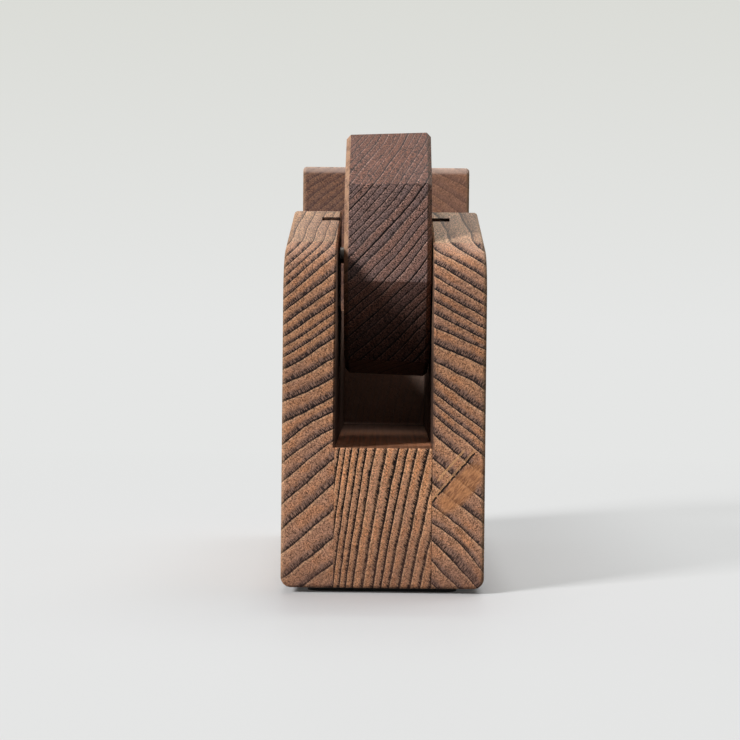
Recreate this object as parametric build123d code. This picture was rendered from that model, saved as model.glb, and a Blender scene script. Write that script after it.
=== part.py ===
from build123d import *
from math import cos, radians, sin, sqrt, tan
import os

# A wooden desk tape dispenser: three boards glued side by side, a turning octagonal reel between them
# and a toothed blade on the head. Millimetres, +Z up. The tail, open end faces -Y and the head +Y.
# The origin lies on the table, under the middle of the whole object.

# Lamination, across X
side_board_thickness = 15.0
centre_board_thickness = 28.0

# Roll of tape that the body is laid out around, with room below, at the tail and, for fingers, behind it
core_bore = 76.2
roll_diameter = 105.0
roll_room_below = 4.0
roll_room_tail = 2.3
roll_room_behind = 23.7

# Axle rod and the two open slots it drops into; its height is above the underside of the wood
axle_height = 96.5
axle_diameter = 5.0
axle_slot_depth = 5.8
axle_slot_clearance = 0.1
axle_end_gap = 0.3
axle_chamfer = 0.5

# Side outline, set out from the axle
axle_lug = 12.6
crest_rise = 15.0
top_slope = 13.7
valley_drop = 17.0
head_rise = 33.5
head_thickness = 29.0

# Rounded corners of the side outline and of the slot
tail_round = 15.0
crest_round = 2.5
valley_round = 5.0
head_rear_round = 3.0
head_front_round = 1.5
slot_corner_round = 1.0

# Edges of the glued block
base_round = 3.0
edge_round = 1.2
mouth_chamfer = 0.5

# Tapered octagonal reel: its corners grip the bore of a tape core at the middle of its width
reel_sides = 8
reel_taper = 2.15
reel_gap_left = 1.75
reel_gap_right = 0.45
reel_turn = 9.3
reel_bore_clearance = 0.05
reel_rim_chamfer = 1.3
reel_edge_round = 0.5

# Toothed blade, let into the front of the centre board
blade_thickness = 0.8
blade_seat_height = 14.0
blade_clearance = 0.1
blade_lean = 25.0
blade_lip = 4.0
blade_bend_drop = 2.0
blade_bend = 1.4
blade_corner_round = 2.0
tooth_pitch = 1.5
tooth_depth = 1.3

# Pan-head screws that hold the blade
blade_screw_diameter = 3.0
blade_screw_length = 12.0
blade_screw_head = 5.6
blade_screw_head_height = 1.5
blade_screw_head_rim = 0.6
blade_screw_shoulder = 4.7
blade_screw_shoulder_height = 1.2
blade_screw_head_flat = 2.8
blade_screw_spacing = 16.0
blade_screw_drop = 8.0

# Steel weight let into the underside, and its countersunk screws
ballast_length = 112.0
ballast_width = 38.0
ballast_thickness = 10.0
ballast_corner_round = 5.0
ballast_clearance = 0.15
ballast_screw_diameter = 4.0
ballast_screw_length = 22.0
ballast_screw_head = 8.0
ballast_screw_spacing = 76.0

# Screw details shared by both kinds
screw_hole_clearance = 0.05
screw_tip = 2.0
recess_slot = 0.7
recess_length = 3.4
recess_depth = 0.9

# Non-slip sheet glued under the base
pad_thickness = 1.5
pad_margin = 2.5
pad_inset = 5.0
pad_corner_round = 4.0

# Lengths from the tail face and half widths, worked out from the sizes above
slot_half = centre_board_thickness / 2
body_half = slot_half + side_board_thickness
axle_radius = axle_diameter / 2
axle_slot_radius = axle_radius + axle_slot_clearance
axle_reach = slot_half + axle_slot_depth
axle_from_tail = roll_diameter / 2 + roll_room_tail
crest_from_tail = axle_from_tail + axle_slot_radius + axle_lug
head_from_tail = axle_from_tail + roll_diameter / 2 + roll_room_behind
body_length = head_from_tail + head_thickness
blade_proud = blade_lip * sin(radians(blade_lean)) - blade_thickness / 2 * (1 - cos(radians(blade_lean)))

# Places along Y, with the whole object centred on the origin
tail_y = -(body_length + max(blade_proud, blade_screw_head_height)) / 2
body_middle_y = tail_y + body_length / 2
axle_y = tail_y + axle_from_tail
crest_y = tail_y + crest_from_tail
head_y = tail_y + head_from_tail
front_y = tail_y + body_length

# Places along Z, from the table up
base_z = pad_thickness
axle_z = base_z + axle_height
slot_floor_z = axle_z - roll_diameter / 2 - roll_room_below
crest_z = axle_z + crest_rise
shoulder_z = crest_z - crest_from_tail * tan(radians(top_slope))
valley_z = axle_z - valley_drop
head_z = axle_z + head_rise
blade_seat_z = head_z - blade_seat_height
blade_screw_z = head_z - blade_screw_drop

# How far a cutting shape reaches past what it cuts, and how close counts as the same place
past = 1.0
same = 1e-4


def rounded_outline(corners):
    """Closed outline in the YZ plane through corners (y, z, radius), rounded where a radius is given."""
    outline = make_face(Polyline(*[(y, z) for y, z, radius in corners], close=True))
    for y, z, radius in corners:
        if radius:
            nearest = outline.vertices().sort_by_distance((y, z))[0]
            outline = fillet(nearest, radius)
    return Plane.YZ * outline


def across(outline, half_width):
    """Solid with this side outline, reaching the same way to both sides of the middle."""
    return extrude(outline, amount=half_width, both=True)


def glued_block():
    """The three boards as one block: side outline, rounded outer edges and the roll's slot."""
    block = across(rounded_outline([
        (tail_y, base_z, 0),
        (tail_y, shoulder_z, tail_round),
        (crest_y, crest_z, crest_round),
        (crest_y, valley_z, valley_round),
        (head_y, valley_z, valley_round),
        (head_y, head_z, head_rear_round),
        (front_y, head_z, head_front_round),
        (front_y, base_z, 0),
    ]), body_half)
    block = fillet(block.edges().filter_by(Axis.Y).group_by(Axis.Z)[0], base_round)
    block = fillet(outer_edges(block), edge_round)
    slot_top = head_z + past
    block -= across(rounded_outline([
        (tail_y - past, slot_floor_z, 0),
        (head_y, slot_floor_z, slot_corner_round),
        (head_y, slot_top, 0),
        (tail_y - past, slot_top, 0),
    ]), slot_half)
    return block


def outer_edges(block):
    """The edges that hands touch: all round both side faces, and along the foot of the two end faces."""
    def at(value, place):
        return abs(value - place) < same

    def on_side(edge):
        foot_line = at(edge.center().Z, base_z + base_round) and edge.length > base_round
        return all(at(abs(v.X), body_half) for v in edge.vertices()) and not foot_line

    def on_foot(edge):
        ends = edge.vertices()
        low = all(v.Z < base_z + base_round + same for v in ends)
        return low and any(all(at(v.Y, y) for v in ends) for y in (tail_y, front_y))

    return ShapeList(edge for edge in block.edges() if on_side(edge) or on_foot(edge))


def mouth_edge(side):
    """Thin square bar along the slot's edge on one side, from its floor over the shoulder to the crest."""
    run_out = 2 * crest_round
    path = Plane.YZ * FilletPolyline(
        (tail_y, slot_floor_z),
        (tail_y, shoulder_z),
        (crest_y + run_out, crest_z + run_out * tan(radians(top_slope))),
        radius=tail_round,
    )
    path = Pos(side * slot_half, 0, 0) * path
    bar_width = mouth_chamfer * sqrt(2)
    bar = Plane(path @ 0, z_dir=path % 0) * Rot(0, 0, 45) * Rectangle(bar_width, bar_width)
    return sweep(bar, path)


def axle_slot(side):
    """Round-bottomed slot in one inner face, open at the top, that an end of the axle drops into."""
    depth = axle_slot_depth + past
    height = crest_rise + past
    bottom = Cylinder(axle_slot_radius, depth, rotation=(0, 90, 0))
    above = Pos(0, 0, height / 2) * Box(depth, 2 * axle_slot_radius, height)
    return Pos(side * (axle_reach - depth / 2), axle_y, axle_z) * (bottom + above)


def ballast_outline(clearance):
    """Rounded rectangle of the weight, seen from below, with room all round."""
    return RectangleRounded(
        ballast_width + 2 * clearance, ballast_length + 2 * clearance, ballast_corner_round + clearance
    )


def shaped_block():
    """The glued block with the axle slots, the blade's seat, the weight's pocket and the pilot holes."""
    block = glued_block()
    for side in (-1, 1):
        block -= mouth_edge(side) + axle_slot(side)
    seat_height = blade_seat_height + past
    seat = Box(centre_board_thickness, 2 * blade_thickness, seat_height)
    block -= Pos(0, front_y, blade_seat_z + seat_height / 2) * seat
    block -= Pos(0, body_middle_y, base_z) * extrude(ballast_outline(ballast_clearance), ballast_thickness)
    for place in blade_screw_places():
        block -= place * pilot_hole(blade_screw_diameter, blade_screw_length)
    for place in ballast_screw_places():
        block -= place * pilot_hole(ballast_screw_diameter, ballast_screw_length)
    return block


def pilot_hole(diameter, length):
    """Hole a screw sits in, along its own axis from z = 0 down."""
    hole = Cylinder(diameter / 2 + screw_hole_clearance, length + 2 * screw_hole_clearance)
    return Pos(0, 0, -length / 2) * hole


def board(block, low_x, high_x):
    """One board of the lamination: the block between two glue lines."""
    middle = (low_x + high_x) / 2
    return block & Pos(middle, 0, head_z) * Box(high_x - low_x, 2 * body_length, 4 * head_z)


def centre_board(block):
    """The middle board, with the front edge of the slot's floor eased like the slot's sides."""
    wood = board(block, -slot_half, slot_half)
    lip = wood.edges().filter_by(Axis.X).sort_by_distance((0, tail_y, slot_floor_z))[0]
    return chamfer(lip, mouth_chamfer)


def reel_axle():
    """Straight rod with eased ends."""
    rod = Cylinder(axle_radius, 2 * (axle_reach - axle_end_gap), rotation=(0, 90, 0))
    rod = chamfer(rod.edges(), axle_chamfer)
    return Pos(0, axle_y, axle_z) * rod


def tape_reel():
    """Tapered octagon with eased rims and an axle bore; it widens towards +X, so a core wedges on from -X."""
    low_x = -slot_half + reel_gap_left
    high_x = slot_half - reel_gap_right
    width = high_x - low_x
    growth = width / 2 * tan(radians(reel_taper))
    half_facet = 180 / reel_sides
    ends = []
    for x, radius in ((low_x, core_bore / 2 - growth), (high_x, core_bore / 2 + growth)):
        end_plane = Plane((x, axle_y, axle_z), x_dir=(0, 1, 0), z_dir=(1, 0, 0))
        ends.append(end_plane * RegularPolygon(radius, reel_sides, rotation=half_facet - reel_turn))
    reel = loft(ends)
    rims = reel.edges().filter_by(Plane.YZ)
    reel = chamfer(rims, reel_rim_chamfer)
    reel = fillet(reel.edges(), reel_edge_round)
    bore = Cylinder(axle_radius + reel_bore_clearance, width + 2 * past, rotation=(0, 90, 0))
    return reel - Pos((low_x + high_x) / 2, axle_y, axle_z) * bore


def cutter_blade():
    """Bent steel strip: a flange screwed to the head and a toothed lip that leans forwards."""
    flange_y = front_y - blade_thickness / 2
    flange_z = blade_seat_z + blade_clearance
    bend_z = head_z - blade_bend_drop
    lean = radians(blade_lean)
    tip_y = flange_y + blade_lip * sin(lean)
    tip_z = bend_z + blade_lip * cos(lean)
    half_width = slot_half - blade_clearance
    middle_line = FilletPolyline((flange_y, flange_z), (flange_y, bend_z), (tip_y, tip_z), radius=blade_bend)
    blade = across(Plane.YZ * trace(middle_line, blade_thickness), half_width)
    blade = fillet(blade.edges().filter_by(Axis.Y).group_by(Axis.Z)[0], blade_corner_round)
    tip_plane = Plane((0, tip_y, tip_z), x_dir=(1, 0, 0), z_dir=(0, cos(lean), -sin(lean)))
    gap = make_face(Polyline((-tooth_pitch / 2, 0), (0, tooth_depth), (tooth_pitch / 2, 0), close=True))
    count = int(2 * half_width // tooth_pitch)
    for index in range(count):
        x = (index - (count - 1) / 2) * tooth_pitch
        blade -= tip_plane * Pos(x, 0, 0) * extrude(gap, blade_thickness, both=True)
    for place in blade_screw_places():
        blade -= place * pilot_hole(blade_screw_diameter, blade_screw_length)
    return blade


def blade_screw_places():
    """Where the blade's screws sit: on the flange, side by side, pointing into the head."""
    facing_out = Plane((0, front_y, blade_screw_z), x_dir=(1, 0, 0), z_dir=(0, 1, 0)).location
    return [facing_out * Pos(side * blade_screw_spacing / 2, 0, 0) for side in (-1, 1)]


def ballast_screw_places():
    """Where the weight's screws sit: flush with its underside, one behind the other, pointing up."""
    facing_down = Plane((0, body_middle_y, base_z), x_dir=(1, 0, 0), z_dir=(0, 0, -1)).location
    return [facing_down * Pos(0, side * ballast_screw_spacing / 2, 0) for side in (-1, 1)]


def cross_recess(top):
    """Cross-shaped recess for a driver, cut down from the top of a screw head."""
    arms = Box(recess_length, recess_slot, recess_depth) + Box(recess_slot, recess_length, recess_depth)
    return Pos(0, 0, top - recess_depth / 2) * arms


def turned(points):
    """Solid of revolution about Z from half-section points (radius, height)."""
    return revolve(Plane.XZ * make_face(Polyline(*points, close=True)), Axis.Z)


def pan_screw():
    """Screw with a low crowned head that stands on z = 0 and a pointed shank below it."""
    shank = blade_screw_diameter / 2
    rim = blade_screw_head / 2
    tip_z = -blade_screw_length
    body = turned([
        (0, blade_screw_head_height),
        (blade_screw_head_flat / 2, blade_screw_head_height),
        (blade_screw_shoulder / 2, blade_screw_shoulder_height),
        (rim, blade_screw_head_rim),
        (rim, 0),
        (shank, 0),
        (shank, tip_z + screw_tip),
        (0, tip_z),
    ])
    return body - cross_recess(blade_screw_head_height)


def countersunk_screw():
    """Screw with a flat head that ends at z = 0 and a pointed shank below it."""
    shank = ballast_screw_diameter / 2
    head_radius = ballast_screw_head / 2
    tip_z = -ballast_screw_length
    neck = (shank, shank - head_radius)
    body = turned([(0, 0), (head_radius, 0), neck, (shank, tip_z + screw_tip), (0, tip_z)])
    return body - cross_recess(0)


def ballast_plate():
    """Flat steel weight with two countersunk holes."""
    plate = Pos(0, body_middle_y, base_z) * extrude(ballast_outline(0), ballast_thickness)
    shank = ballast_screw_diameter / 2 + screw_hole_clearance
    mouth = ballast_screw_head / 2 + screw_hole_clearance
    end = -ballast_screw_length
    hole = turned([(0, 0), (mouth, 0), (shank, shank - mouth), (shank, end), (0, end)])
    for place in ballast_screw_places():
        plate -= place * hole
    return plate


def base_pad():
    """Thin non-slip sheet that the dispenser stands on."""
    width = ballast_width + 2 * pad_margin
    sheet = RectangleRounded(width, body_length - 2 * pad_inset, pad_corner_round)
    return Pos(0, body_middle_y, 0) * extrude(sheet, pad_thickness)


wood = shaped_block()
nodes = {
    "left_side_board": board(wood, -body_half, -slot_half),
    "right_side_board": board(wood, slot_half, body_half),
    "centre_board": centre_board(wood),
    "tape_reel": tape_reel(),
    "reel_axle": reel_axle(),
    "cutter_blade": cutter_blade(),
    "blade_screws": Compound([place * pan_screw() for place in blade_screw_places()]),
    "ballast_plate": ballast_plate(),
    "ballast_screws": Compound([place * countersunk_screw() for place in ballast_screw_places()]),
    "base_pad": base_pad(),
}

os.makedirs("parts", exist_ok=True)
for name, shape in nodes.items():
    export_step(shape, f"parts/{name}.step")
    box = shape.bounding_box()
    print(name, len(shape.solids()), "solid(s)", round(shape.volume), "mm3",
          [round(v, 2) for v in (*box.min, *box.max)])
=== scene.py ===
# %% [markdown]
# # A wooden tape dispenser
# The body is three boards glued side by side, with a slot in which an octagonal reel turns on a steel rod.
# The boards come from the workshop drawing at their true size and stay as they are. What is left for this
# lesson is how they look: the growth rings in the end grain, the oiled surface, the steel and the light.

# %% Load the pieces
import math

import bmesh
import bpy
from mathutils import Matrix, Vector


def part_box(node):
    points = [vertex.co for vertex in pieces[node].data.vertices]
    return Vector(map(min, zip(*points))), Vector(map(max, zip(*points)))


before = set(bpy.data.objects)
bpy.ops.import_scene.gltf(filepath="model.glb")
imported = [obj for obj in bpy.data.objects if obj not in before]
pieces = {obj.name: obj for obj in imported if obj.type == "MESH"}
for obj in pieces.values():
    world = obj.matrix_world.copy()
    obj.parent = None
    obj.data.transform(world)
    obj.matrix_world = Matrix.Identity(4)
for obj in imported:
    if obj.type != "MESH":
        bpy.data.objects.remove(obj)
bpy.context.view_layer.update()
tail_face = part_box("centre_board")[0].y
print("pieces:", ", ".join(sorted(pieces)))

# %% [markdown]
# ## Where the eye is
# The dispenser is seen straight on from its open tail end, from a little above half its height, with a
# long lens. A camera could be aimed with a constraint, but three small turns (to the side, down, and a
# slight tilt of the horizon) say more plainly how it was held.

# %% Camera
eye_distance, eye_height = 0.5676, 0.0771
turned, looking_down, tilted = 0.41, 1.35, 0.58
aim = (
    Matrix.Rotation(math.radians(turned), 4, "Z")
    @ Matrix.Rotation(math.radians(90 - looking_down), 4, "X")
    @ Matrix.Rotation(math.radians(tilted), 4, "Z")
)
lens = bpy.data.cameras.new("tail_end_view")
lens.sensor_width, lens.lens = 36.0, 97.3
camera = bpy.data.objects.new("tail_end_view", lens)
camera.matrix_world = Matrix.Translation((0.0, tail_face - eye_distance, eye_height)) @ aim
bpy.context.scene.collection.objects.link(camera)
bpy.context.scene.camera = camera
print("camera stands", eye_distance, "m from the tail face")

# %% [markdown]
# ## A finish is a little recipe
# Each finish is a node material. Nodes can be wired by hand in the Shader Editor, but a long formula is
# hard to read there. With this helper a sum is written as a sum: an Amount is a number that changes over
# the surface, and adding or multiplying Amounts adds Math nodes.

# %% Amounts
class Amount:
    """A number that changes over the surface."""

    def __init__(self, recipe, socket):
        self.recipe, self.socket = recipe, socket

    def __add__(self, other):
        return self.recipe.math("ADD", self, other)

    def __sub__(self, other):
        return self.recipe.math("SUBTRACT", self, other)

    def __rsub__(self, other):
        return self.recipe.math("SUBTRACT", other, self)

    def __mul__(self, other):
        return self.recipe.math("MULTIPLY", self, other)

    def __truediv__(self, other):
        return self.recipe.math("DIVIDE", self, other)

    def __abs__(self):
        return self.recipe.math("ABSOLUTE", self)

    __radd__, __rmul__ = __add__, __mul__


print("an Amount adds its own Math nodes")

# %% [markdown]
# A Recipe fills one node tree, of a material or of the world. It holds the plumbing: making a node,
# putting a number or a link into a socket, and mixing two colours or two shaders. The Mix node has one set
# of sockets for each kind of value, so the sockets for colours are picked by number.

# %% Recipes
mix_share, mix_first, mix_second, mix_result = 0, 6, 7, 2


class Recipe:
    """A node tree, with short ways to add its nodes."""

    def __init__(self, tree):
        self.tree = tree

    def node(self, kind, **settings):
        made = self.tree.nodes.new("ShaderNode" + kind)
        for setting, value in settings.items():
            setattr(made, setting, value)
        return made

    def put(self, socket, value):
        """A link if the value changes over the surface, and a plain number or colour if not."""
        if isinstance(value, Amount):
            value = value.socket
        if isinstance(value, bpy.types.NodeSocket):
            self.tree.links.new(value, socket)
        else:
            socket.default_value = value

    def math(self, operation, *values):
        made = self.node("Math", operation=operation)
        for socket, value in zip(made.inputs, values):
            self.put(socket, value)
        return Amount(self, made.outputs[0])

    def larger(self, first, second):
        return self.math("MAXIMUM", first, second)

    def split(self, vector):
        made = self.node("SeparateXYZ")
        self.put(made.inputs[0], vector)
        return [Amount(self, out) for out in made.outputs]

    def blend(self, share, first, second):
        made = self.node("Mix", data_type="RGBA")
        for number, value in ((mix_share, share), (mix_first, first), (mix_second, second)):
            self.put(made.inputs[number], value)
        return made.outputs[mix_result]

    def mix_shaders(self, share, first, second):
        made = self.node("MixShader")
        for socket, value in zip(made.inputs, (share, first, second)):
            self.put(socket, value)
        return made.outputs[0]


print("a Recipe blends colours through socket", mix_result, "of the Mix node")

# %% [markdown]
# A Pattern is a recipe that can draw. Noise gives soft random bumps, a step is a soft switch from 0 to 1,
# and a curve is a smooth line through a few measured points.

# %% Patterns
class Pattern(Recipe):
    """A recipe with noise, soft switches and curves."""

    def noise(self, spot, scale, detail=2.0):
        """Bumps between 0 and 1; scale says how many fall on a millimetre in each direction."""
        stretched = self.node("CombineXYZ")
        for socket, part, per_mm in zip(stretched.inputs, spot, scale):
            self.put(socket, part * per_mm)
        made = self.node("TexNoise")
        self.put(made.inputs["Vector"], stretched.outputs[0])
        made.inputs["Scale"].default_value = 1.0
        made.inputs["Detail"].default_value = detail
        return Amount(self, made.outputs[0])

    def noise_line(self, run, per_mm, row):
        """Bumps along one line; row picks which line through the noise it is."""
        return self.noise((run, *row), (per_mm, 1.0, 1.0))

    def chance(self, number):
        """A fixed random number between 0 and 1 for each whole number."""
        made = self.node("TexWhiteNoise", noise_dimensions="1D")
        self.put(made.inputs["W"], number)
        return Amount(self, made.outputs["Value"])

    def step(self, value, start, end):
        """0 up to start, 1 from end on, and a soft change between; start may be the larger one."""
        made = self.node("MapRange", interpolation_type="SMOOTHSTEP")
        for socket, number in zip(made.inputs, (value, start, end)):
            self.put(socket, number)
        return Amount(self, made.outputs[0])

    def curve(self, value, points):
        """A smooth curve through a few (input, output) points."""
        ins, outs = zip(*points)
        low_in, low_out = min(ins), min(outs)
        span_in, span_out = max(ins) - low_in, max(outs) - low_out
        made = self.node("FloatCurve")
        drawn = made.mapping.curves[0]
        while len(drawn.points) < len(points):
            drawn.points.new(0.5, 0.5)
        for point, (put_in, got_out) in zip(drawn.points, points):
            point.location = ((put_in - low_in) / span_in, (got_out - low_out) / span_out)
            point.handle_type = "AUTO_CLAMPED"
        made.mapping.update()
        self.put(made.inputs["Value"], (value - low_in) / span_in)
        return Amount(self, made.outputs[0]) * span_out + low_out


print("a Pattern draws with noise, steps and curves")

# %% [markdown]
# A Finish is the recipe of one material. Places are measured in millimetres on the piece itself, through
# the Object output of Texture Coordinate, so a pattern runs through the solid wood, every face shows its
# own cut of it, and it travels with a piece that moves. Painting on a UV map would break at every edge.

# %% Finishes
mm_in_metre = 1000.0


class Finish(Pattern):
    """One material: spot is where a point is on the piece, faces is which way its surface looks."""

    def __init__(self, name):
        self.material = bpy.data.materials.new(name)
        self.material.use_nodes = True
        super().__init__(self.material.node_tree)
        self.shader = self.tree.nodes["Principled BSDF"]
        where = self.node("TexCoord")
        self.spot = [part * mm_in_metre for part in self.split(where.outputs["Object"])]
        self.faces = self.split(where.outputs["Normal"])

    def set(self, name, value):
        """One of the shader's own inputs."""
        self.put(self.shader.inputs[name], value)

    def stain(self, colour, *layers):
        """Lays tones over a colour, one after the other, each with its share."""
        for share, tone in layers:
            colour = self.blend(share, colour, tone)
        return colour

    def scale_colour(self, colour, amount):
        made = self.node("VectorMath", operation="SCALE")
        self.put(made.inputs[0], colour)
        self.put(made.inputs["Scale"], amount)
        return made.outputs[0]

    def relief(self, height, deep_mm):
        made = self.node("Bump")
        made.inputs["Strength"].default_value = 1.0
        made.inputs["Distance"].default_value = deep_mm / mm_in_metre
        self.put(made.inputs["Height"], height)
        self.set("Normal", made.outputs[0])

    def paint(self, *names):
        """Puts the finish on the named pieces."""
        for name in names:
            slots = pieces[name].data.materials
            slots.clear()
            slots.append(self.material)
        print(self.material.name, "on", ", ".join(names), "-", len(self.tree.nodes), "nodes")


print("a Finish counts", mm_in_metre, "mm to the metre")

# %% [markdown]
# ## What a year of growth looks like
# This is a ring-porous wood. Each spring the tree lays down a belt of wide pores, and in the end grain
# that belt starts with one sharp dark line and frays outwards, in teeth along the rays, into the dense,
# light summer wood. Oil sinks into the pores, so they are very dark and lie a little lower.
# A photograph of the wood could be wrapped round the boards, but it would show the same skin on every
# cut. A handful of tones and amounts, matched to the boards, lets the recipe make every face.

# %% Tones of the boards
def shade(red, green, blue):
    """A colour as it is read off a picture (0 to 255), in the linear numbers a shader works with."""
    def linear(value):
        value /= 255.0
        return value / 12.92 if value <= 0.04045 else ((value + 0.055) / 1.055) ** 2.4
    return linear(red), linear(green), linear(blue), 1.0


brown_board = {
    # the dense wood: after the belt, later, its pale last edge, its warm years and its clouds
    "early": shade(173, 127, 102),
    "late": shade(190, 138, 103),
    "edge": shade(216, 170, 134),
    "warm": shade(188, 127, 87),
    "cloud": shade(156, 118, 102),
    # the open wood: pores, the rays between them and the line that starts the year
    "pores": shade(48, 39, 40),
    "ray": shade(156, 121, 104),
    "line": shade(24, 18, 17),
    # cuts that run with the fibres: the tops and the outer faces
    "long": shade(181, 144, 107),
    "side": shade(188, 138, 102),
    # painted light and shade on the inner faces, low in the slot and on the head, a painted highlight on the
    # head's edge, and a darker tone near the table
    "painted_slot_shading": shade(174, 150, 137),
    "slot": shade(70, 53, 46),
    "foot": shade(104, 74, 66),
    "head": shade(84, 66, 65),
    "painted_highlight": shade(206, 180, 166),
    # how much of the long tone, the lines and the pores shows on cuts that run with the fibres
    "long_share": 0.8,
    "long_lines": 0.75,
    "long_pores": 0.25,
    # how strong the clouds, the specks and the warm years are
    "cloudy": 0.5,
    "grainy": 3.2,
    "uneven": 0.15,
    # parts of a year: reach of the belt, where it starts to fade, length of its teeth, width of the line
    "spring": 0.44,
    "fade": 0.55,
    "fray": 0.16,
    "line_width": 0.14,
    "line_luck": 0.2,
}
print("tones of the boards:", ", ".join(brown_board))

# %% [markdown]
# A Wave texture would give even stripes. Here every point gets a count of years instead, 1.0 more for
# each ring: the fraction of the count tells the season and the whole part tells one year from the next,
# so every year can have its own luck. The rays are fine lines that run outwards through all the rings.

# %% Rings and rays
ring_stray = 0.24
stray_scale = (0.16, 0.12, 0.02)
ray_scale = (3.7, 0.6, 0.05)


def rings(wood, years, ring_spot):
    """The season (0 to 1), the luck of the year (-0.5 to 0.5) and the rays at a point."""
    count = years + (wood.noise(ring_spot, stray_scale) - 0.5) * ring_stray
    season = wood.math("FRACT", count)
    luck = wood.chance(wood.math("FLOOR", count)) - 0.5
    return season, luck, wood.noise(ring_spot, ray_scale, detail=1.0)


print("a ring strays by up to", ring_stray / 2, "of a year")

# %% [markdown]
# The belt of spring pores reaches further out in lucky years, in tufts and along the rays, so its outer
# side is ragged. Its inner side is the sharp line with which the year begins.

# %% Spring belt
tuft_scale = (0.5, 0.2, 0.05)
luck_reach, tuft_reach, least_reach = 0.16, 0.3, 0.1


def spring_belt(wood, season, luck, rays, ring_spot, tones):
    """The teeth along the rays, the belt of pores and the line that starts the year."""
    teeth = wood.step(rays, 0.46, 0.54)
    tufts = wood.noise(ring_spot, tuft_scale) - 0.5
    reach = luck * luck_reach + tufts * tuft_reach + teeth * tones["fray"] + tones["spring"]
    belt = 1.0 - wood.step(season, reach * tones["fade"], wood.larger(reach, least_reach))
    line = 1.0 - wood.step(season, tones["line_width"] * 0.6, tones["line_width"])
    return teeth, belt, line * (1.0 + luck * tones["line_luck"]) * (1.0 - teeth * 0.12)


print("a belt fills about", brown_board["spring"], "of a year")

# %% [markdown]
# The dense wood between two belts goes from a greyer early tone to a warmer late one and ends in a pale
# edge. Broad clouds and small warm blushes keep a board from looking printed.

# %% Summer wood
cloud_scale = (0.06, 0.02, 0.06)
blush_scale = (0.22, 0.03, 0.22)


def summer_wood(wood, season, luck, tones, end_grain, contrast):
    """Colour of the dense wood, before its specks."""
    clouds = wood.step(wood.noise(wood.spot, cloud_scale), 0.35, 0.65) * tones["cloudy"]
    blush = wood.step(wood.noise(wood.spot, blush_scale), 0.42, 0.68) * tones["cloudy"]
    return wood.stain(
        wood.blend(wood.step(season, 0.1, 0.7), tones["early"], tones["late"]),
        (wood.step(luck, -0.3, 0.4) * tones["uneven"], tones["warm"]),
        ((1.0 - end_grain) * tones["long_share"], tones["long"]),
        (clouds, tones["cloud"]),
        (blush * (0.4 + end_grain * 0.6), tones["warm"]),
        (wood.step(season, 0.82, 0.97) * contrast * 0.6, tones["edge"]),
    )


print("a cloud is about", round(1 / cloud_scale[0]), "mm across")

# %% [markdown]
# Now the pieces of a year are laid over each other. In end grain the pores are open holes; along the
# fibres they are cut lengthwise and show as short dashes. The relief sinks where pores and lines are.

# %% From a count of years to a surface
speck_scale = (3.0, 0.03, 3.0)
dash_scale = (2.4, 0.1, 2.4)


def growth(wood, years, along, outward, tones, end_grain, quiet=1.0):
    """Colour, relief and roughness. along and outward lie in the end grain, the fibres run with y."""
    ring_spot = (along, outward, wood.spot[1])
    season, luck, rays = rings(wood, years, ring_spot)
    teeth, belt, line = spring_belt(wood, season, luck, rays, ring_spot, tones)

    def showing(on_long_grain):
        return (on_long_grain + end_grain * (1.0 - on_long_grain)) * quiet

    contrast = showing(tones["long_lines"])
    pores, line = belt * showing(tones["long_pores"]), line * contrast
    summer = summer_wood(wood, season, luck, tones, end_grain, contrast)
    specks = wood.noise(wood.spot, speck_scale, detail=1.0) - 0.5
    speckle = 1.0 + specks * tones["grainy"] * (0.9 + end_grain * 0.1) + (rays - 0.5)
    dashes = wood.step(wood.noise(wood.spot, dash_scale, detail=1.0), 0.52, 0.62)
    colour = wood.stain(
        wood.scale_colour(summer, speckle),
        (dashes * belt * (1.0 - end_grain) * 0.5, tones["pores"]),
        (pores, wood.blend(teeth, tones["pores"], tones["ray"])),
        (line * 0.95, tones["line"]),
    )
    height = specks * 0.6 + rays * 0.3 - pores * (0.6 - teeth * 0.5) - line * 0.4
    return colour, height * (0.15 + end_grain * 0.85), 0.5 + pores * 0.25


print("specks are about", round(1 / speck_scale[0], 2), "mm wide")

# %% [markdown]
# The wood is oiled, not varnished: there is no coat on top of it, only a low sheen, and the open pores
# stay rough. So the Principled shader gets a low specular level, and the relief comes from a Bump node.

# %% Oil
oil_sheen, pore_depth = 0.15, 0.25


def oil(wood, colour, height, roughness):
    """The oiled surface: colour, relief and a low sheen."""
    wood.set("Base Color", colour)
    wood.set("Roughness", roughness)
    wood.set("Specular IOR Level", oil_sheen)
    wood.relief(height, pore_depth)


print("pores look", pore_depth, "mm deep")

# %% [markdown]
# ## Where the saw went
# End grain shows where a cut crosses the fibres. That is so on the tail face and on the round shoulder
# above it, where it runs out on the way up. Behind the tail face the fibres climb and stray, which is why
# the rings turn upwards on the sloping tops. The way a surface faces tells one kind of cut from the other.

# %% Fibres and cuts
tail_mm = tail_face * mm_in_metre
fibre_climb = [(0, 0), (12, 0.7), (40, 6.0), (70, 11.5), (110, 17), (170, 23)]
drift_scale = (0.03, 0.014, 0.03)
shoulder_depth = (18.0, 22.0)


def behind_tail(wood):
    """How far a point lies behind the tail face, in millimetres."""
    return wood.spot[1] - tail_mm


def drift(wood, start, end, most):
    """How far the fibres stray: not at all up to a depth of start, and by up to half of most from end on."""
    stray = wood.noise(wood.spot, drift_scale, detail=1.0) - 0.5
    return stray * wood.step(behind_tail(wood), start, end) * most


def end_cut(wood):
    """1 on the two ends of a board."""
    return wood.step(abs(wood.faces[1]), 0.28, 0.5)


def cut_across(wood):
    """1 on the ends and on the rounded shoulder until it runs out."""
    shoulder = 1.0 - wood.step(behind_tail(wood), *shoulder_depth)
    return wood.larger(end_cut(wood), shoulder * wood.step(wood.faces[2], 0.3, 0.7))


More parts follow.
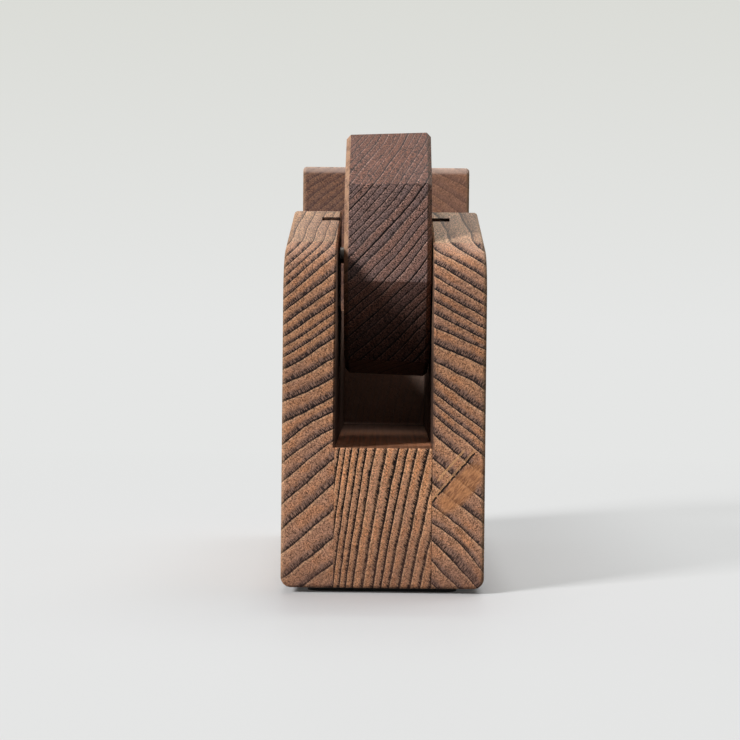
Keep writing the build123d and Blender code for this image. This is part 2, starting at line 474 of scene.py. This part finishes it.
print("fibres climb", fibre_climb[-1][1], "mm over", fibre_climb[-1][0], "mm")

# %% [markdown]
# ## The two side boards
# In both side boards the rings rise towards the middle of the body, like the two slopes of a roof. Rings
# could be drawn as circles round the heart of the tree, but these swing to and fro. So the heights where
# rings meet one upright edge of a board, and how steeply they run and bend there, were measured on the
# tail face, and smooth curves go through a few of them. To find the age of a point, its ring is followed
# back to that edge. The slope is known only at the edge, so the answer is corrected a few times.

# %% Slanting rings
first_slope, corrections = 0.6, 4


def slanting_rings(wood, reach, away, height, slopes, bends, ages):
    """Years at a point that lies reach from the edge where the ages are known."""
    edge = height + reach * (first_slope * away)
    for _ in range(corrections):
        slope = wood.curve(edge, slopes) + wood.curve(edge, bends) * reach
        edge = height + slope * reach * away
    return wood.curve(edge, ages)


print("each ring is followed", corrections, "times")

# %% [markdown]
# Wear and painted light and shade lie on the boards: painted shade on the face of the head, a painted
# highlight on the rounded edge on top of it, rubbed outer edges, painted light and shade on the inner
# faces, painted shade low in the slot, in the axle slot and at mid height, and a darker tone close to the
# table. Vertex paint could hold them, but the drawn meshes stay as they are. So where a point lies and
# which way it faces tell which mark it has.

# %% Marks that all boards share
head_depth, head_height = (90.0, 125.0), (126.0, 129.0)


def head_face(wood):
    """1 on the face of the head that looks back at the reel."""
    return wood.step(behind_tail(wood), *head_depth) * wood.step(wood.faces[1], -0.3, -0.6)


def head_top_edge(wood):
    """1 on the rounded edge on top of the head, where the painted highlight lies; the tape is pulled over
    it.
    """
    up = wood.faces[2]
    rounded = wood.step(up, 0.1, 0.5) * wood.step(up, 0.98, 0.9)
    return rounded * wood.step(behind_tail(wood), *head_depth) * wood.step(wood.spot[2], *head_height)


def foot(wood, end):
    """1 close to the table, and nothing at a height of end."""
    return 1.0 - wood.step(wood.spot[2], 3.0, end)


print("marks of the head set in from", head_depth[0], "to", head_depth[1], "mm behind the tail face")

# %% [markdown]
# The side boards have marks of their own. Facing is turned round for the left board, so that 1 always
# means outwards and -1 towards the slot.

# %% Wear and painted light and shade of the side boards
half_body, rubbed_edge = 29.0, 1.6
axle_depth, axle_slot_edge = 54.8, (3.0, 3.6)


def side_wear_and_shading(wood, colour, away, tones):
    """The wear and the painted light and shade of a side board, laid over its colour."""
    x, _, z = wood.spot
    outward = wood.faces[0] * away
    # painted light and shade on the inner face of the slot, in the painted slot shading tone
    inner = wood.step(outward, -0.9, -0.98) * (0.7 - wood.step(z, 88.0, 104.0) * 0.4)
    # painted shade on the inner face low in the slot
    slot_side = wood.step(outward, -0.6, -0.75) * wood.step(z, 78.0, 62.0)
    # painted shade: the walls of the axle slot are made nearly black
    painted_axle_slot_shade = 1.0 - wood.step(abs(behind_tail(wood) - axle_depth), *axle_slot_edge)
    colour = wood.stain(
        colour,
        # painted shade on the face of the head
        (head_face(wood) * 0.65, tones["head"]),
        (wood.step(abs(x), half_body - rubbed_edge, half_body) * 0.35, tones["long"]),
        # painted highlight on the rounded top edge of the head
        (head_top_edge(wood) * 0.55, tones["painted_highlight"]),
        (inner, tones["painted_slot_shading"]),
        (slot_side * 0.85, tones["slot"]),
        (wood.step(abs(wood.faces[1]), 0.5, 0.8) * painted_axle_slot_shade * 0.85, tones["line"]),
    )
    # painted shade: the board is made darker at mid height
    painted_mid_shade = wood.step(z, 42.0, 62.0) * wood.step(z, 104.0, 92.0)
    colour = wood.scale_colour(colour, 1.0 - painted_mid_shade * 0.16)
    return wood.stain(colour, (foot(wood, 13.0) * 0.4, tones["foot"]))


print("the axle lies", axle_depth, "mm behind the tail face")

# %% [markdown]
# Both boards come out of one helper, because they differ only in their rings and tones. Low down the
# belts are narrower and quieter, and the outer faces have a warmer tone than the sloping tops.

# %% Left board
slant_run, slant_rise = 0.84, 0.54


def side_board(name, start_x, away, tones, slopes, bends, ages):
    """The wood of one side board, with its colour, relief and roughness."""
    wood = Finish(name)
    x, _, z = wood.spot
    height = z - wood.curve(behind_tail(wood), fibre_climb) + drift(wood, 40.0, 110.0, 14.0)
    years = slanting_rings(wood, x - start_x, away, height, slopes, bends, ages)
    low = wood.step(z, 56.0, 30.0)
    outer = wood.step(wood.faces[0] * away, 0.6, 0.9)
    belts = dict(
        tones,
        long=wood.blend(outer, tones["long"], tones["side"]),
        spring=tones["spring"] - low * 0.1,
        line_width=tones["line_width"] - low * 0.03,
    )
    along = x * slant_run - z * (slant_rise * away)
    outward = z * slant_run + x * (slant_rise * away)
    quiet = (1.0 - head_face(wood) * 0.6) * (0.95 - low * 0.09)
    colour, relief, roughness = growth(wood, years, along, outward, belts, cut_across(wood), quiet)
    return wood, side_wear_and_shading(wood, colour, away, tones), relief, roughness


left_wood, colour, height, roughness = side_board(
    "left_board_end_grain", -half_body, -1.0, brown_board,
    slopes=[(-40, 0.76), (3, 0.77), (12, 0.85), (28, 0.88), (38, 0.95), (47, 0.54), (56, 0.38),
            (64, 0.52), (72, 0.66), (80, 0.8), (88, 0.92), (140, 0.92)],
    bends=[(-40, 0.002), (28, 0.001), (38, -0.018), (47, 0), (56, 0.009), (64, 0.008),
           (72, 0.002), (80, -0.001), (140, -0.001)],
    ages=[(-40, -6.5), (3.6, 0), (18.1, 2), (31.1, 4), (41.9, 6), (54.1, 8), (63.5, 10),
          (72.6, 13), (79.6, 15), (86.5, 17), (91.9, 19), (140, 34)],
)
oil(left_wood, colour, height, roughness)
left_wood.paint("left_side_board")

# %% [markdown]
# The right board is measured in the same way, but from its inner edge. Its sloping top and its side of the
# head get paler tones, which are painted light, and its inner face a darker tone, which is painted shade;
# those three tones are changed in a copy.

# %% Right board
half_slot = 14.0
# painted light on the sloping top and the head, painted shade on the inner face
right_board_shading = dict(
    brown_board, long=shade(198, 163, 124), head=shade(126, 92, 78), painted_slot_shading=shade(96, 75, 66))
right_wood, colour, height, roughness = side_board(
    "right_board_end_grain", half_slot, 1.0, right_board_shading,
    slopes=[(-40, 0.95), (14, 0.95), (19, 0.5), (24, 0.7), (31, 0.8), (48, 0.82), (57, 0.77),
            (64, 0.52), (71, 0.42), (80, 0.53), (90, 0.57), (98, 0.45), (140, 0.45)],
    bends=[(-40, 0), (13, 0), (19, 0.03), (24, 0.011), (31, 0), (48, -0.002), (57, -0.002),
           (64, 0.006), (71, 0.001), (80, -0.002), (90, 0), (98, 0.007), (140, 0.007)],
    ages=[(-40, -7), (3, 0), (15.2, 2), (25.4, 4), (38.5, 6), (51.1, 8), (57.5, 10),
          (66.3, 12), (76, 14), (83.3, 16), (90.4, 18), (97.8, 20), (140, 31)],
)
print("right board counted from x =", half_slot, "mm")

# %% [markdown]
# The right board has a flaw low on its tail face: the tree healed over a small crack. A dashed black
# line is left, with a pale lip and a thin pale line beside it, and a smooth patch below where the rings
# give way. Each line is a straight seam between two points, so one helper measures along and off it.

# %% Seams
seam_wobble, seam_row, seam_fade = 0.7, (3.0, 7.0), 0.6


def seam(wood, start, end, half_width):
    """1 on a line in the tail face from start to end, and how far along and off it a point is."""
    x, _, z = wood.spot
    length = math.dist(start, end)
    run_x, run_z = (end[0] - start[0]) / length, (end[1] - start[1]) / length
    along = (x - start[0]) * run_x + (z - start[1]) * run_z
    off = (z - start[1]) * run_x - (x - start[0]) * run_z
    wobble = (wood.noise_line(along, 0.5, seam_row) - 0.5) * seam_wobble
    near = 1.0 - wood.step(abs(off + wobble), half_width * 0.5, half_width)
    ends = wood.step(along, 0.0, seam_fade) * (1.0 - wood.step(along, length - seam_fade, length))
    return near * ends, along, off


crack, along, off = seam(right_wood, (13.8, 26.0), (26.5, 41.0), 0.34)
pale, _, _ = seam(right_wood, (15.3, 32.3), (23.1, 41.4), 0.4)
lip, _, _ = seam(right_wood, (13.5, 26.5), (26.2, 41.5), 0.5)
print("seams wobble by up to", seam_wobble / 2, "mm")

# %% [markdown]
# The patch is a soft oval beside the crack. All of this lies close to the tail face and fades out behind
# it, so that the sloping top and the slot keep their plain rings.

# %% The healed crack
patch_middle, patch_radius = (9.0, -3.6), (9.5, 3.6)
dash_row, mottle_scale = (1.0, 1.0), (0.5, 0.05, 1.8)
shallow = 1.0 - right_wood.step(behind_tail(right_wood), 8.0, 24.0)
from_middle = right_wood.math("SQRT", sum(
    right_wood.math("POWER", (run - middle) / radius, 2.0)
    for run, middle, radius in zip((along, off), patch_middle, patch_radius)))
below_crack = 1.0 - right_wood.step(off, -0.4, 0.1)
patch = (1.0 - right_wood.step(from_middle, 0.7, 1.15)) * below_crack * shallow
mottle = right_wood.noise((along, right_wood.spot[1], off), mottle_scale, detail=3.0)
healed = right_wood.blend(right_wood.step(mottle, 0.3, 0.7), shade(150, 98, 66), shade(220, 154, 104))
dashes = right_wood.step(right_wood.noise_line(along, 0.55, dash_row), 0.4, 0.47)
open_crack = crack * dashes * shallow
colour = right_wood.stain(
    colour,
    (patch * 0.8, healed),
    ((pale + lip * 0.6) * shallow * 0.8, shade(222, 168, 120)),
    (open_crack * 0.95, shade(26, 18, 15)),
)
oil(right_wood, colour, height * (1.0 - patch * 0.7) - open_crack, roughness)
right_wood.paint("right_side_board")

# %% [markdown]
# ## The centre board
# The middle board was turned a quarter before it was glued in, so its rings stand almost upright and
# lean a little to the right, more so on the right than on the left. Years are counted towards the left.
# The rings are nearly straight here, so one lean is enough and nothing has to be followed.

# %% Centre board
lean, lean_change, lean_height = 0.187, 0.004, 41.0
upright_run, upright_rise = 0.62, 0.78
upright = dict(
    brown_board, early=shade(202, 146, 110), late=shade(212, 152, 110), edge=shade(234, 184, 144),
    warm=shade(200, 134, 90), cloud=shade(164, 124, 106), pores=shade(30, 22, 21),
    ray=shade(196, 148, 116), line=shade(18, 13, 12),
    spring=0.42, fade=0.6, fray=0.25, line_width=0.25, line_luck=0.4)
centre_wood = Finish("centre_board_end_grain")
x, y, z = centre_wood.spot
depth = behind_tail(centre_wood)
sideways = (z - lean_height) * (lean + x * lean_change) - x + drift(centre_wood, 30.0, 90.0, 9.0)
years = centre_wood.curve(sideways, [
    (-40, -8), (-13.2, 0), (-9.8, 1), (-4.4, 3), (2.2, 5), (6.7, 7), (10.7, 9), (12.4, 10), (40, 22)])
along = z * upright_rise + x * upright_run
outward = z * upright_run - x * upright_rise
quiet = 1.0 - centre_wood.step(depth, 12.0, 60.0) * centre_wood.step(depth, 156.0, 146.0) * 0.6
colour, height, roughness = growth(
    centre_wood, years, along, outward, upright, end_cut(centre_wood), quiet)
print("rings of the centre board lean", lean, "to 1")

# %% [markdown]
# A thin dark line on either side of the centre board is the glue. Its top is the floor of the slot, which
# carries painted light near the tail, a darker rounded lip, and painted shade towards the head.

# %% Glue, slot floor and head
glue_line, streak_scale, streak_layer = (13.72, 13.95), (1.6, 0.02, 1.0), 4.0
in_front_of_head = centre_wood.step(depth, 140.0, 134.0)
glue = centre_wood.step(abs(x), *glue_line)
# painted slot shading: a grey tone on the walls inside the slot stands in for their light and shade
painted_slot_shading = centre_wood.step(depth, 16.0, 50.0) * in_front_of_head * centre_wood.step(z, 110.0, 70.0)
upward = centre_wood.step(centre_wood.faces[2], 0.7, 0.95)
slot_floor = upward * centre_wood.step(z, 60.0, 50.0) * in_front_of_head
# painted light near the tail and painted shade towards the head, on the slot floor
floor_light_and_shade = centre_wood.stain(
    shade(236, 160, 116),
    (centre_wood.step(depth, 40.0, 110.0), shade(84, 58, 46)),
    (centre_wood.step(depth, 24.0, 8.0), shade(134, 88, 64)),
)
streaks = centre_wood.noise((x, y, streak_layer), streak_scale)
colour = centre_wood.stain(
    colour,
    (glue * 0.6, shade(58, 40, 32)),
    (painted_slot_shading * 0.85, brown_board["painted_slot_shading"]),
    (slot_floor * 0.9, centre_wood.scale_colour(floor_light_and_shade, 0.5 + streaks)),
    # painted shade on the face of the head
    (head_face(centre_wood) * 0.65 * centre_wood.step(z, 70.0, 110.0), brown_board["head"]),
    # painted highlight on the rounded top edge of the head
    (head_top_edge(centre_wood) * 0.55, brown_board["painted_highlight"]),
    (foot(centre_wood, 30.0) * 0.4, brown_board["foot"]),
)
oil(centre_wood, colour, height - glue * 0.4, roughness)
centre_wood.paint("centre_board")

# %% [markdown]
# ## The reel
# The reel is cut from a darker, purplish piece of the same wood, with narrow rings that run slantwise
# across its facets and bend a little. It has its own tones and amounts, and the same recipe draws its
# years. The rings are set on the reel itself, so they turn with it.

# %% Reel
reel_tones = dict(
    brown_board, early=shade(102, 81, 78), late=shade(112, 89, 84), edge=shade(172, 138, 124),
    warm=shade(138, 98, 82), cloud=shade(104, 86, 84), long=shade(107, 64, 45), pores=shade(48, 39, 39),
    ray=shade(124, 104, 99), line=shade(18, 13, 13), long_share=0.9, long_lines=0.8, uneven=0.6,
    cloudy=0.25, grainy=5.4, spring=0.3, fade=0.1, fray=0.3, line_width=0.19, line_luck=1.0)
reel_run, reel_rise, reel_bend = 0.67, 0.75, 0.0042
reel_front, reel_lean = -63.5, 0.16
reel_drift_scale, reel_drift = (0.05, 0.02, 0.05), 3.0
swing_row, swing = (5.0, 2.0), 2.4
reel_wood = Finish("reel_wood")
x, y, z = reel_wood.spot
stray = (reel_wood.noise(reel_wood.spot, reel_drift_scale, detail=1.0) - 0.5) * reel_drift
across = z * reel_run - x * reel_rise - x * x * reel_bend - (y - reel_front) * reel_lean + stray
across = across + (reel_wood.noise_line(across, 0.3, swing_row) - 0.5) * swing
reel_ages = [(-20, -10), (15, 0), (52, 12), (69, 19), (84, 27), (103, 41)]
years = reel_wood.curve(across, reel_ages)
facets = reel_wood.step(abs(reel_wood.faces[1]), 0.65, 0.9)
colour, height, roughness = growth(
    reel_wood, years, x * reel_run + z * reel_rise, across, reel_tones, facets)
print("the reel's rings span", reel_ages[-1][1] - reel_ages[0][1], "years")

# %% [markdown]
# The rims of the reel carry a painted highlight, most of all on the left and on top, where the window
# light catches them, and its lower half, deep in the slot, carries painted shade.

# %% Painted highlight and shade of the reel
painted_rim_highlight, highlight_breakup_scale = shade(206, 164, 132), (0.7, 0.35, 0.35)
sideways = abs(reel_wood.faces[0])
rim = reel_wood.step(sideways, 0.25, 0.5) * (1.0 - reel_wood.step(sideways, 0.9, 0.98))
on_left = 0.2 + reel_wood.step(x, 4.0, -4.0) * 0.8
on_top = 0.3 + reel_wood.step(z, 84.0, 100.0) * 0.7
highlight_breakup = reel_wood.step(reel_wood.noise(reel_wood.spot, highlight_breakup_scale), 0.35, 0.6) * 0.5 + 0.5
# painted highlight on the rims
colour = reel_wood.stain(colour, (rim * on_left * on_top * highlight_breakup * 0.7, painted_rim_highlight))
# painted shade: the lower half is made darker
painted_lower_shade = 1.0 - reel_wood.step(z, 68.0, 94.0)
oil(reel_wood, reel_wood.scale_colour(colour, 1.0 - painted_lower_shade * 0.6), height, roughness)
reel_wood.paint("tape_reel")

# %% [markdown]
# ## Steel, the weight and rubber
# The rod is drawn steel, the blade is brushed across its width, the screws are plain and the weight is
# black. Fine scratches could come from a picture; noise that is stretched along the way the metal was
# worked does the same at any size.

# %% Steel
scratch_depth, roughness_swing = 0.01, 0.25


def steel(name, colour, roughness, scratches):
    """Worked steel; scratches says how many fall on a millimetre in each direction."""
    metal = Finish(name)
    scratch = metal.noise(metal.spot, scratches, detail=3.0)
    metal.set("Metallic", 1.0)
    metal.set("Base Color", metal.scale_colour(colour[:3], 0.85 + scratch * 0.3))
    metal.set("Roughness", scratch * roughness_swing + (roughness - 0.12))
    metal.relief(scratch, scratch_depth)
    return metal


steel("axle_drawn_steel", shade(136, 131, 125), 0.5, (0.3, 9.0, 9.0)).paint("reel_axle")
steel("blade_brushed_steel", shade(140, 140, 138), 0.66, (0.25, 6.0, 14.0)).paint("cutter_blade")
screw_steel = steel("screw_plain_steel", shade(186, 186, 184), 0.3, (5.0, 5.0, 5.0))
screw_steel.paint("blade_screws", "ballast_screws")
steel("ballast_black_steel", shade(60, 60, 63), 0.5, (1.0, 0.4, 1.0)).paint("ballast_plate")

# %% [markdown]
# The pad under the base is matt black rubber with a fine crumb. A flat black would look like a hole, so
# the crumb changes its tone and its roughness a little.

# %% Rubber
crumb_scale, crumb_depth = (2.5, 2.5, 2.5), 0.12
pad = Finish("pad_rubber")
crumb = pad.noise(pad.spot, crumb_scale, detail=3.0)
pad.set("Base Color", pad.blend(crumb, shade(22, 22, 22), shade(38, 37, 36)))
pad.set("Roughness", crumb * 0.2 + 0.7)
pad.relief(crumb, crumb_depth)
pad.paint("base_pad")

# %% [markdown]
# ## Table and light
# The dispenser stands on a pale table that runs out of sight. A curved backdrop would stand in the way
# when the object is looked at from behind, so the table is a wide flat disc.

# %% Table
top = bmesh.new()
bmesh.ops.create_circle(top, cap_ends=True, segments=96, radius=4.0)
table_mesh = bpy.data.meshes.new("table_top")
top.to_mesh(table_mesh)
top.free()
table = bpy.data.objects.new("table_top", table_mesh)
bpy.context.scene.collection.objects.link(table)
print("table", round(table.dimensions.x, 2), "m across")

# %% [markdown]
# The table keeps a soft shadow close to the object. Further out its finish goes over, bit by bit, into an
# even glow in the colour of the backdrop, so no edge of the table shows; beside the object that glow is
# painted light, which lightens the object's shadow. For light that bounces from the table to the object,
# the Light Path node puts a plain grey there, so the table doesn't brighten the wood.

# %% Finish of the table
backdrop, table_tone, bounce_tone = shade(229, 230, 229), shade(232, 232, 233), shade(128, 128, 128)
shadow_width, shadow_length = 29.0, 120.0
table_finish = Finish("table_pale")
x, y, _ = table_finish.spot
bounced = table_finish.node("LightPath").outputs["Is Diffuse Ray"]
table_finish.set("Base Color", table_finish.blend(bounced, table_tone, bounce_tone))
table_finish.set("Roughness", 0.5)
table_finish.set("Specular IOR Level", 0.1)
far = table_finish.step(table_finish.math("SQRT", x * x + y * y), 200.0, 1000.0)
# painted light: close beside the object the glow rises, which lightens its shadow there
outside = table_finish.larger(abs(x) - shadow_width, abs(y) - shadow_length)
near_edge = table_finish.step(outside, -3.0, 13.0)
wide_edge = table_finish.step(outside, 16.0, 91.0)
glow_share = far * 0.7 + near_edge * 0.33 + wide_edge * 0.33 + 0.05
glow = table_finish.node("Emission")
glow.inputs["Color"].default_value = backdrop
looked_at = 1.0 - Amount(table_finish, bounced)
surface = table_finish.mix_shaders(
    glow_share * looked_at, table_finish.shader.outputs[0], glow.outputs[0])
table_finish.put(table_finish.tree.nodes["Material Output"].inputs["Surface"], surface)
table_mesh.materials.append(table_finish.material)
print("table_pale on table_top -", len(table_finish.tree.nodes), "nodes")

# %% [markdown]
# A soft window in front on the left, about 30 degrees up, is the main light. It rakes across the tail
# face, which makes the relief of the rings stand out, and leaves the inside of the slot dark. It stands
# far off, because a lamp close by would bleach the table under it. A wide, weak light above and behind
# opens the sloping tops. Area lamps were chosen because their size sets how soft a shadow is.

# %% Window and sky
lit_spot = Vector((0.0, -0.03, 0.06))


def window(name, place, size, power):
    """A square of soft light that looks at the object."""
    lamp = bpy.data.lights.new(name, "AREA")
    lamp.shape = "RECTANGLE"
    lamp.size, lamp.size_y, lamp.energy = size, size, power
    holder = bpy.data.objects.new(name, lamp)
    turn = (lit_spot - Vector(place)).to_track_quat("-Z", "Y").to_matrix().to_4x4()
    holder.matrix_world = Matrix.Translation(place) @ turn
    bpy.context.scene.collection.objects.link(holder)
    print(name, power, "W")


window("window_left", (-2.20, -2.01, 1.74), 0.8, 114.0)
window("sky_above", (0.3, 0.65, 1.55), 1.5, 16.0)

# %% [markdown]
# The room gives a very weak, even light. What the camera and the steel see of it is a backdrop of its own,
# in the colour of the far table at the horizon and a shade darker above it, so the pale background needs
# no more light on the object.

# %% Room
overhead, fade_rise, room_strength = shade(219, 220, 215), 0.16, 0.06
world = bpy.data.worlds.new("pale_room")
world.use_nodes = True
bpy.context.scene.world = world
sky = Recipe(world.node_tree)
room = sky.tree.nodes["Background"]
room.inputs["Color"].default_value = shade(236, 238, 240)
room.inputs["Strength"].default_value = room_strength
rise = sky.split(sky.node("TexCoord").outputs["Generated"])[2]
seen = sky.node("Background")
sky.put(seen.inputs["Color"], sky.blend(rise / fade_rise, backdrop, overhead))
path = sky.node("LightPath").outputs
mirrored = sky.larger(path["Is Glossy Ray"], path["Is Transmission Ray"])
looked_at = sky.larger(path["Is Camera Ray"], mirrored)
surface = sky.mix_shaders(looked_at, room.outputs[0], seen.outputs[0])
sky.put(sky.tree.nodes["World Output"].inputs["Surface"], surface)
bpy.context.scene.view_settings.view_transform = "Standard"
print("world light", room_strength)
